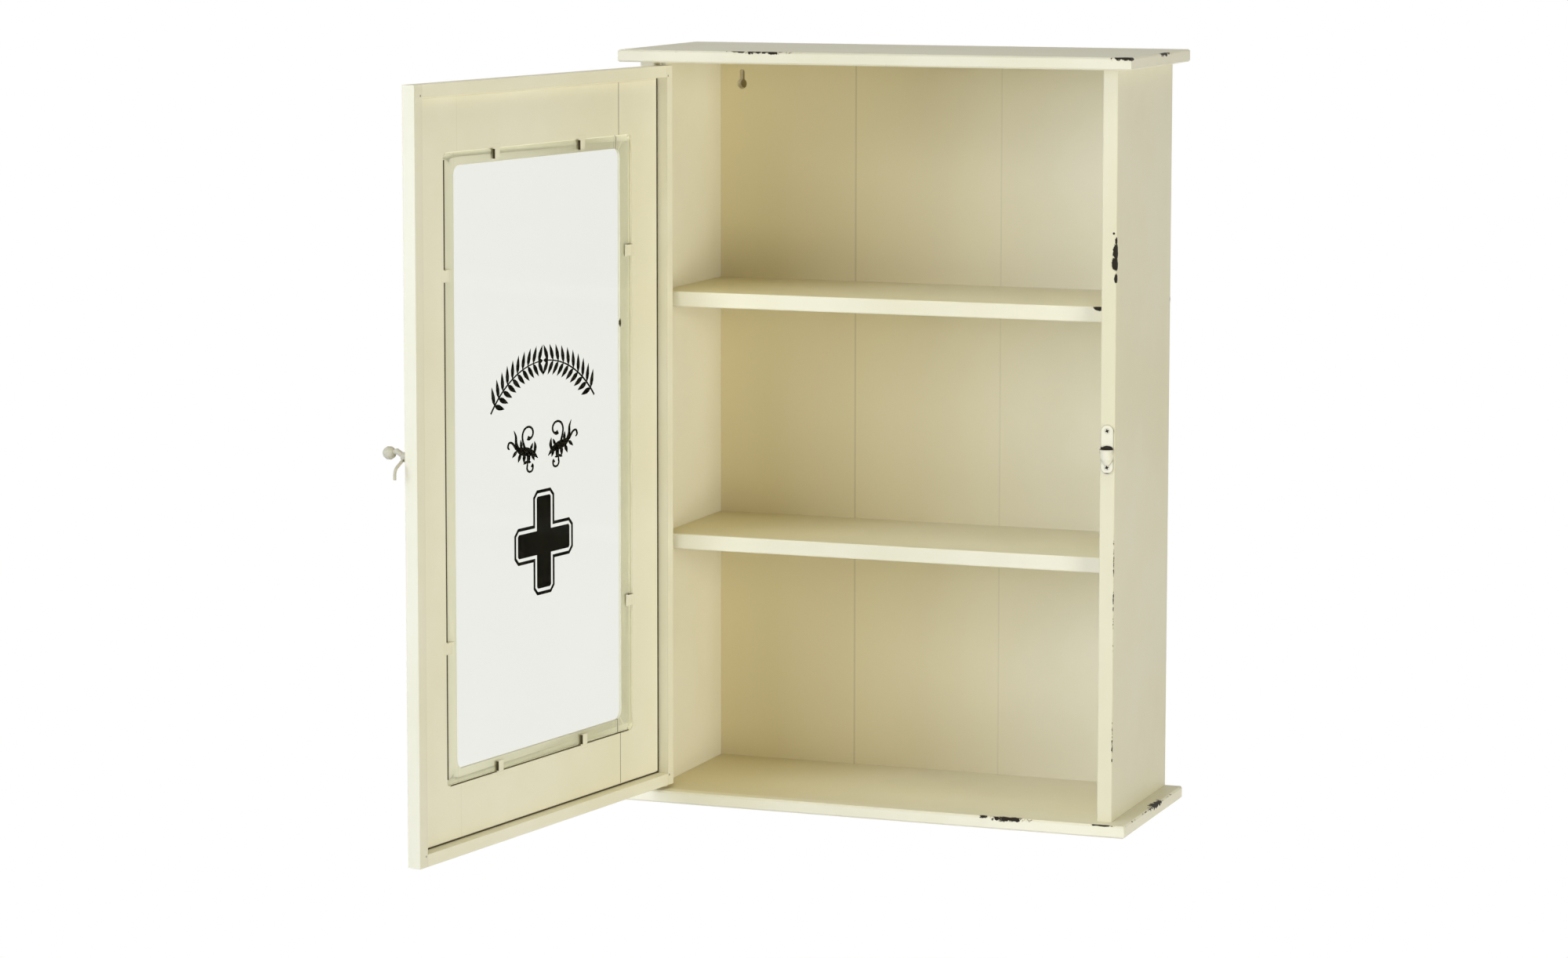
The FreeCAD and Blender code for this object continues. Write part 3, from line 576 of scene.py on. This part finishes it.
# The first chip paints the pocket dark, for worn paint and the shade inside it; the second is a
# painted shadow along the plate's lower edge; the third is worn paint
keeperChipsAndShade = [
    ((keeperMiddle.x - 0.0006, keeperMiddle.y + 0.002, -0.001), (0.0068, 0.0035, 0.0042), 0.35),
    ((keeperMiddle.x, keeperHigh.y, keeperLow.z), (0.006, 0.002, 0.0010), 0.5),
    ((keeperHigh.x, keeperHigh.y, keeperHigh.z - 0.005), (0.0012, 0.002, 0.004), 0.8),
]
metalFinish = {
    "keeper": {"look": keeperPaint, "rub": 0.7, "line": 0.7, "chips": keeperChipsAndShade},
    "keeper_screws": {"look": keeperPaint, "rub": 0.5},
    "latch_lever": {"look": latchPaint, "rub": 0.7, "tone": 0.84},
    "latch_rosette": {"look": latchPaint, "rub": 0.7, "tone": 0.84},
    "pivot_pins": {"look": latchPaint, "rub": 0.7},
    "strip_nails": {"look": latchPaint, "rub": 0.7, "tone": 0.55},
}
for node, finish in metalFinish.items():
    dress(node, makePaint(f"worn_{node}", "upright", **finish))
for node in ("glazing_tabs", "latch_pin"):
    dress(node, makePaint(f"cream_{node}", "upright", rub=0.5, tone=1.03))


# Bare wood of the dowels

dowelWood = {"light": rgb(190, 150, 100), "dark": rgb(150, 110, 70), "roughness": 0.7}


def makeBareWood(name, setup):
    material, tree, shader = newMaterial(name)
    brush = placeGroup(tree, brushMarks, Vector=objectPlace(tree), Grain=grains["upright"])
    colour = mixColour(tree, brush.outputs["Streak"], setup["light"], setup["dark"])
    tree.links.new(colour, shader.inputs["Base Color"])
    shader.inputs["Roughness"].default_value = setup["roughness"]
    return material


dress("carcass_dowels", makeBareWood("bare_dowel", dowelWood))


# Glass, which lets the lamps' light straight through

glassSetup = {
    "haze": (6.0, 2.0),
    "shades": ((0.86, 0.87, 0.82, 1.0), (0.83, 0.84, 0.79, 1.0)),
    "hazeRoughness": 0.04,
    "ior": 1.13,
    "shadowTint": (0.985, 0.99, 0.98, 1.0),
}


def makeGlass(setup):
    material, tree, shader = newMaterial("clear_pane")
    haze = noiseNode(tree, objectPlace(tree), *setup["haze"])
    rough = mathNode(tree, "MULTIPLY", haze, setup["hazeRoughness"])
    tree.links.new(mixColour(tree, haze, *setup["shades"]), shader.inputs["Base Color"])
    tree.links.new(rough, shader.inputs["Roughness"])
    shader.inputs["IOR"].default_value = setup["ior"]
    shader.inputs["Transmission Weight"].default_value = 1.0
    clear = newNode(tree, "ShaderNodeBsdfTransparent")
    clear.inputs["Color"].default_value = setup["shadowTint"]
    mixSurface(tree, rayMask(tree, "Shadow", "Diffuse"), shader, clear)
    return material


dress("glass_pane", makeGlass(glassSetup))
print("metal and glass dressed")


# Added pieces

def finishPiece(name, mesh, material, body):
    bmesh.ops.recalc_face_normals(mesh, faces=mesh.faces[:])
    data = bpy.data.meshes.new(name)
    mesh.to_mesh(data)
    mesh.free()
    data.materials.append(material)
    piece = bpy.data.objects.new(name, data)
    bpy.context.scene.collection.objects.link(piece)
    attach(piece, body)


# A closed plate between two rings of corners
def closePlate(mesh, back, front):
    mesh.faces.new(front)
    mesh.faces.new(list(reversed(back)))
    for first in range(len(back)):
        second = (first + 1) % len(back)
        mesh.faces.new((back[first], back[second], front[second], front[first]))


# Fine specks in the colour and the roughness
def makeSpeckled(name, colours, setup):
    material, tree, shader = newMaterial(name)
    specks = noiseNode(tree, objectPlace(tree), *setup["specks"])
    least, more = setup["roughness"]
    rough = mathNode(tree, "ADD", least, mathNode(tree, "MULTIPLY", specks, more))
    tree.links.new(mixColour(tree, specks, *colours), shader.inputs["Base Color"])
    tree.links.new(rough, shader.inputs["Roughness"])
    shader.inputs["Specular IOR Level"].default_value = setup["specular"]
    return material


speckSetup = {"specks": (300.0, 5.0, 0.65), "roughness": (0.6, 0.3), "specular": 0.5}
gapShade = makeSpeckled("painted_gap_shade", (rgb(34, 27, 14), rgb(86, 74, 48)), speckSetup)
recessShade = makeSpeckled("painted_recess_shade", (rgb(12, 9, 5), rgb(34, 28, 18)), speckSetup)


# Painted shade: dark boxes in the grooves beside the strips, along the window's rebate and on the
# open flanks of the glazing tabs, where shade falls

gapSetup = {
    "span": (11.1, 383.9),  # door panel between the strips, across and up
    "rise": (-301.4, 301.4),
    "hingeGap": (1.7, 9.35, 10.85),  # width, back and front
    "footGap": (0.9, 9.75, 10.85),  # height, back and front
    "headFiller": (1.75, 9.52, 10.85),
    "window": (54.0, 341.0, -256.0, 255.5),  # hinge edge, latch edge, foot, head
    "latchLine": (338.3, 339.9),
    "latchLineDepth": (10.1, 10.28),
    "footLine": (0.1, 0.9),  # above the window's foot
    "footLineDepth": (10.0, 10.28),
    "lineEnd": 6.0,  # the lines stop this far from the window's corners
    "tabWidth": 10.0,
    "tabCover": (1.1, 8.95),
    "tabDepth": (8.05, 10.25),
    "tabSpots": (132.5, 262.5),
    "tabLevels": (157.0, -143.0),
    "flank": 0.25,
}
boxFaces = ((0, 1, 3, 2), (4, 6, 7, 5), (0, 4, 5, 1), (2, 3, 7, 6), (0, 2, 6, 4), (1, 5, 7, 3))


def doorBoxes(name, boxes, material):
    mesh = bmesh.new()
    for us, ns, zs in boxes:
        corners = [mesh.verts.new(onDoor(u, n, z)) for u in us for n in ns for z in zs]
        for face in boxFaces:
            mesh.faces.new([corners[index] for index in face])
    finishPiece(name, mesh, material, "door")


def makeGrooves(setup):
    start, end = setup["span"]
    foot, head = setup["rise"]
    wide, *hingeDepth = setup["hingeGap"]
    tall, *footDepth = setup["footGap"]
    thick, *headDepth = setup["headFiller"]
    doorBoxes("groove_shadow", [
        ((start, start + wide), hingeDepth, (foot, head)),
        ((start + wide, end), footDepth, (foot, foot + tall)),
    ], gapShade)
    filler = makePaint("cream_filler", "deep", tone=1.03)
    joint = ((start + wide, end), headDepth, (head - thick, head))
    doorBoxes("head_filler", [joint], filler)


# Painted shadow along the window's latch edge and foot, and painted shade on the glazing tabs' open
# flanks
def makeWindowLines(setup):
    hinge, latch, foot, head = setup["window"]
    stop = setup["lineEnd"]
    low, high = setup["footLine"]
    doorBoxes("rebate_shadow", [
        (setup["latchLine"], setup["latchLineDepth"], (foot + stop, head - stop)),
        ((hinge + stop, latch - stop), setup["footLineDepth"], (foot + low, foot + high)),
    ], gapShade)
    near, far = setup["tabCover"]
    half, depth = setup["tabWidth"] / 2, setup["tabDepth"]
    flanks = []
    for u in setup["tabSpots"]:
        side = (u + half, u + half + setup["flank"])
        flanks.append((side, depth, (foot + near, foot + far)))
        flanks.append((side, depth, (head - far, head - near)))
    for level in setup["tabLevels"]:
        side = (level + half, level + half + setup["flank"])
        flanks.append(((hinge + near, hinge + far), depth, side))
    doorBoxes("tab_shadows", flanks, gapShade)


makeGrooves(gapSetup)
makeWindowLines(gapSetup)
print("dark gaps made")


# Printed ornament on the front of the glass, in door coordinates

inkSetup = {
    "thickness": 0.08,
    "layerStep": 0.002,  # plates that cross each other differ a little in thickness
    "layers": 7,
    "thinnest": 0.12,
    "colours": (rgb(1, 1, 1), rgb(5, 5, 4)),
    "specks": (900.0, 4.0, 0.7),
    "roughness": (0.35, 0.2),
    "specular": 0.05,
}
blackPrint = makeSpeckled("black_print", inkSetup["colours"], inkSetup)


# Flat shapes in (u, z) become thin closed plates on the pane
def printPlates(name, outlines):
    mesh = bmesh.new()
    back = doorSetup["glassFront"]
    for number, outline in enumerate(outlines):
        front = back + inkSetup["thickness"] + inkSetup["layerStep"] * (number % inkSetup["layers"])
        low = [mesh.verts.new(onDoor(u, back, z)) for u, z in outline]
        high = [mesh.verts.new(onDoor(u, front, z)) for u, z in outline]
        closePlate(mesh, low, high)
    bmesh.ops.recalc_face_normals(mesh, faces=mesh.faces[:])
    bmesh.ops.triangulate(mesh, faces=[face for face in mesh.faces if len(face.verts) > 4])
    finishPiece(name, mesh, blackPrint, "door")


def smoothCurve(points, steps=7):
    padded = [points[0], *points, points[-1]]
    made = []
    for index in range(1, len(padded) - 2):
        a, b, c, d = (Vector(padded[index + shift]) for shift in (-1, 0, 1, 2))
        for step in range(steps):
            t = step / steps
            made.append(0.5 * (2 * b + (c - a) * t + (2 * a - 5 * b + 4 * c - d) * t * t
                               + (3 * b - a - 3 * c + d) * t ** 3))
    made.append(Vector(points[-1]))
    return made


# A brush stroke along a curve, with a width at each given point
def strokeOutline(points, widths):
    curve = smoothCurve([(a, b, width) for (a, b), width in zip(points, widths)])
    left, right = [], []
    for index, here in enumerate(curve):
        before = curve[max(index - 1, 0)]
        after = curve[min(index + 1, len(curve) - 1)]
        run = Vector((after.x - before.x, after.y - before.y)).normalized()
        half = max(here.z, inkSetup["thinnest"]) / 2
        left.append((here.x - run.y * half, here.y + run.x * half))
        right.append((here.x + run.y * half, here.y - run.x * half))
    return [[left[i], left[i + 1], right[i + 1], right[i]] for i in range(len(left) - 1)]


# Half of a leaf, as shares of its length and width
leafEdge = [(0.22, 0.42), (0.45, 0.5), (0.72, 0.32)]


def leafOutline(root, direction, length, width):
    run = Vector(direction).normalized()
    side = Vector((-run.y, run.x))
    shape = [(0, 0), *leafEdge, (1, 0), *((a, -b) for a, b in reversed(leafEdge))]
    return [tuple(Vector(root) + run * a * length + side * b * width) for a, b in shape]


def spiral(centre, start, turn, radius, shrink, count=9):
    points = []
    for index in range(count):
        part = index / (count - 1)
        angle = math.radians(start + turn * part)
        reach = radius * (1 - shrink * part)
        points.append((centre[0] + reach * math.cos(angle), centre[1] + reach * math.sin(angle)))
    return points


# Cross with cut corners and a line round it

crossSetup = {
    "centre": (190.0, -75.6),
    "span": (79.5, 77.0),
    "arm": (21.6, 20.0),  # upright and level arm
    "cut": 1.6,
    "lineGap": 2.7,
    "lineWidth": 2.7,
    "lineCut": 4.0,
    "cutGrowth": 0.6,
}


def crossOutline(setup, grown, cut):
    u, z = setup["centre"]
    parts = (*setup["span"], *setup["arm"])
    wide, tall, upright, level = ((part + 2 * grown) / 2 for part in parts)
    points = []
    for side in range(4):
        reach, half, rest = (tall, upright, level) if side % 2 else (wide, level, upright)
        ends = [
            (rest, half), (reach - cut, half), (reach, half - cut),
            (reach, cut - half), (reach - cut, -half),
        ]
        spin = Matrix.Rotation(-side * math.pi / 2, 2)
        points += [tuple(spin @ Vector(end)) for end in ends]
    return [(u + a, z + b) for a, b in points]


# A closed line of even width, as one plate for each straight run
def outlineRuns(outer, inner):
    runs = []
    for first in range(len(outer)):
        second = (first + 1) % len(outer)
        runs.append([outer[first], outer[second], inner[second], inner[first]])
    return runs


def makeCross(setup):
    printPlates("print_cross", [crossOutline(setup, 0, setup["cut"])])
    gap, line, cut = setup["lineGap"], setup["lineWidth"], setup["lineCut"]
    inner = crossOutline(setup, gap, cut)
    outer = crossOutline(setup, gap + line, cut + line * setup["cutGrowth"])
    printPlates("print_cross_line", outlineRuns(outer, inner))


# One scroll of leaves, drawn outward from the middle line; the other is its mirror image

scrollSetup = {
    "centre": (190.8, 1.2),
    "scale": (1.13, 0.85),
    "weight": 1.5,
    "leafStretch": (1.3, 1.25),  # length and width
    # points and the brush's width at each
    "strokes": [
        ([(7, -7), (13, -2), (21, 1), (30, 3), (38, 8)], [0.4, 3.4, 5.6, 4.8, 1.0]),
        (
            [(24, 3), (27, 12), *spiral((19, 18), 0, 300, 8.5, 0.55)],
            [2.2, 1.6] + [1.5] * 7 + [2.6, 3.0],
        ),
        (
            [(21, 0), (21, -8), *spiral((17, -15), 30, -270, 5.0, 0.45)],
            [1.6, 1.2] + [1.4] * 7 + [2.4, 2.8],
        ),
        ([(33, 4), (36, 11), (36.5, 18), (39, 24)], [3.0, 2.4, 1.8, 0.4]),
        ([(36, 6), (41, 12), (45.5, 13), (47, 9), (45, 6.5)], [2.0, 1.6, 1.4, 1.6, 0.8]),
        ([(12, -2), (10.5, 4), (11.5, 10)], [1.6, 2.6, 0.4]),
    ],
    # root, direction, length and width
    "leaves": [
        ((15, -2), (-1, -2), 6, 3),
        ((20, -1), (-0.4, -2), 7, 3.4),
        ((25, 0), (0.2, -2), 7.5, 3.6),
        ((30, 1), (0.7, -1.7), 7.5, 3.4),
        ((35, 4), (1.4, -1.3), 7, 3.0),
        ((17, 2), (-1, 2), 6, 2.8),
        ((29, 4), (0.2, 2), 8, 3.0),
        ((21, -8), (1.3, -0.6), 5, 2.4),
        ((21, -9), (-1.4, -0.2), 4, 2.2),
    ],
}


def makeScrolls(setup):
    shapes = []
    for points, widths in setup["strokes"]:
        shapes += strokeOutline(points, [width * setup["weight"] for width in widths])
    longer, wider = setup["leafStretch"]
    for root, way, length, width in setup["leaves"]:
        shapes.append(leafOutline(root, way, length * longer, width * wider))
    u, z = setup["centre"]
    wide, tall = setup["scale"]
    for name, side in (("print_scroll_hinge", -wide), ("print_scroll_latch", wide)):
        printPlates(name, [[(u + side * a, z + tall * b) for a, b in shape] for shape in shapes])


# Two leafy sprigs that meet in an arch

archSetup = {
    "centre": (189.8, -30.3),
    "radius": 105.5,
    "reach": (41, 86),  # degrees above level on each side
    "stem": (2.0, 0.1),  # width at the root, and what each leaf takes off
    "leafCount": 10,
    "leafLength": 16.5,
    "leafWidth": 5.0,
    "leafLean": (0.5, 0.87),  # along the stem and away from it
    "leafShrink": 0.01,
    "innerLeaf": 0.95,
    "tipLeaf": (0.42, 0.8),  # shares of length and width
}


def makeArch(setup):
    low, high = setup["reach"]
    centre = Vector(setup["centre"])
    count, length, width = setup["leafCount"], setup["leafLength"], setup["leafWidth"]
    lean, spread = setup["leafLean"]
    inner = setup["innerLeaf"]
    thick, loss = setup["stem"]
    widths = [thick - loss * index for index in range(count + 1)]
    sprigs = []
    for ahead in (1, -1):
        angles = [math.radians(low + (high - low) * index / count) for index in range(count + 1)]
        outwards = [Vector((ahead * math.cos(angle), math.sin(angle))) for angle in angles]
        roots = [tuple(centre + outward * setup["radius"]) for outward in outwards]
        sprigs += strokeOutline(roots, widths)
        for index, (root, outward) in enumerate(zip(roots[1:], outwards[1:])):
            onward = Vector((-outward.y, outward.x)) * ahead
            size = length * (1 - setup["leafShrink"] * index)
            outer = onward * lean + outward * spread
            sprigs.append(leafOutline(root, outer, size, width))
            under = onward * lean - outward * spread
            sprigs.append(leafOutline(root, under, size * inner, width * inner))
        shortened, narrowed = setup["tipLeaf"]
        sprigs.append(leafOutline(root, onward, length * shortened, width * narrowed))
    printPlates("print_arch", sprigs)


makeCross(crossSetup)
makeScrolls(scrollSetup)
makeArch(archSetup)
print("ornament printed")


# Recesses of the keeper's screws: flat black crosses on the flush heads, painted shade standing in
# for the dark inside of each recess

recessSetup = {"reach": 1.5, "width": 1.25, "lift": 0.02, "inset": 5.2, "turn": 0.4}


def makeRecesses(setup):
    mesh = bmesh.new()
    low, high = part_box("keeper_screws")
    x, front = (low.x + high.x) / 2, low.y
    reach, half, inset = setup["reach"] * mm, setup["width"] * mm / 2, setup["inset"] * mm
    for z in (keeperLow.z + inset, keeperHigh.z - inset):
        corners = []
        for side in range(4):
            spin = Matrix.Rotation(side * math.pi / 2 + setup["turn"], 2)
            corners += [spin @ Vector(p) for p in ((half, half), (half, reach), (-half, reach))]
        near = [mesh.verts.new((x + p.x, front - setup["lift"] * mm, z + p.y)) for p in corners]
        far = [mesh.verts.new((x + p.x, front, z + p.y)) for p in corners]
        closePlate(mesh, far, near)
    finishPiece("screw_recesses", mesh, recessShade, "cabinet")


makeRecesses(recessSetup)
print("screw recesses made")


# Stage: floor, a patch of wall behind the back, light

stageSetup = {
    "floorLevel": -0.9,
    "floorSize": 30.0,
    "floorColour": (0.9, 0.9, 0.9, 1),
    "shadowReach": (0.3, 1.7),  # the floor's shadow fades out between these distances
    "shadowShare": 0.3,
    "wallShadeColour": rgb(160, 144, 98),
    "wallGap": 0.0008,
    "roughness": 0.9,
    "ambient": 0.05,
    # name, place, size, watts, colour
    "lamps": [
        ("key", (-2.0, -3.5, 1.2), 2.2, 85.0, (0.75, 0.81, 1.0)),
        ("left", (-2.7, -3.1, 0.2), 1.3, 34.0, (0.77, 0.86, 1.0)),
        ("above", (0.2, -1.7, 3.3), 2.0, 42.0, (1.0, 1.0, 0.76)),
        ("fill", (3.6, -1.9, 0.05), 1.4, 82.0, (0.99, 1.0, 0.94)),
        ("low", (0.4, -3.3, -0.5), 0.7, 5.4, (0.95, 1.0, 0.85)),
        ("back", (-1.2, 3.2, -0.4), 0.9, 55.0, (1.0, 1.0, 1.0)),
    ],
}


def makePlane(name, corners, material):
    mesh = bpy.data.meshes.new(name)
    mesh.from_pydata(corners, [], [(0, 1, 2, 3)])
    mesh.materials.append(material)
    plane = bpy.data.objects.new(name, mesh)
    bpy.context.scene.collection.objects.link(plane)


def stagePaint(name, colour, setup):
    material, tree, shader = newMaterial(name)
    shader.inputs["Base Color"].default_value = colour
    shader.inputs["Roughness"].default_value = setup["roughness"]
    return material, tree, shader


# White to the eye, apart from the object's shadow
def makeFloor(setup):
    material, tree, shader = stagePaint("pale_floor", setup["floorColour"], setup)
    glow = newNode(tree, "ShaderNodeEmission")
    away = vectorNode(tree, "LENGTH", vectorNode(tree, "MULTIPLY", objectPlace(tree), (1, 1, 0)))
    near = fallNode(tree, away, *setup["shadowReach"])
    share = mathNode(tree, "MULTIPLY", near, setup["shadowShare"])
    share = mathNode(tree, "SUBTRACT", 1.0, share)
    seen = rayMask(tree, "Camera", "Glossy", "Transmission")
    mixSurface(tree, mathNode(tree, "MULTIPLY", seen, share), shader, glow)
    half, z = setup["floorSize"] / 2, setup["floorLevel"]
    corners = [(-half, -half, z), (half, -half, z), (half, half, z), (-half, half, z)]
    makePlane("floor", corners, material)


# The wall shows only from the front, through the keyholes, and casts no shadow on the back; its
# dark colour adds painted shade to the wall seen through the keyholes
def makeWallPatch(setup):
    material, tree, shader = stagePaint("wall_behind", setup["wallShadeColour"], setup)
    clear = newNode(tree, "ShaderNodeBsdfTransparent")
    behind = newNode(tree, "ShaderNodeNewGeometry").outputs["Backfacing"]
    hidden = mathNode(tree, "MAXIMUM", rayMask(tree, "Shadow", "Diffuse"), behind)
    mixSurface(tree, hidden, shader, clear)
    low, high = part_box("back_panel")
    y = setup["wallGap"]
    corners = [(low.x, y, low.z), (high.x, y, low.z), (high.x, y, high.z), (low.x, y, high.z)]
    makePlane("wall_patch", corners, material)


def makeLight(setup):
    world = bpy.data.worlds.new("studio")
    world.use_nodes = True
    tree = world.node_tree
    dim = tree.nodes["Background"]
    white = newNode(tree, "ShaderNodeBackground")
    for shine, strength in ((dim, setup["ambient"]), (white, 1.0)):
        shine.inputs["Color"].default_value = (1, 1, 1, 1)
        shine.inputs["Strength"].default_value = strength
    seen = rayMask(tree, "Camera", "Glossy", "Transmission")
    mixSurface(tree, seen, dim, white, "World Output")
    bpy.context.scene.world = world
    for name, place, size, power, colour in setup["lamps"]:
        data = bpy.data.lights.new(name, "AREA")
        data.color = colour
        data.size = size
        data.energy = power
        lamp = bpy.data.objects.new(name, data)
        lamp.location = place
        lamp.rotation_euler = (-Vector(place)).to_track_quat("-Z", "Y").to_euler()
        lamp.visible_camera = False
        lamp.visible_glossy = False
        lamp.visible_transmission = False
        bpy.context.scene.collection.objects.link(lamp)


makeFloor(stageSetup)
makeWallPatch(stageSetup)
makeLight(stageSetup)
bpy.context.scene.view_settings.view_transform = "Standard"
print("stage and light set")
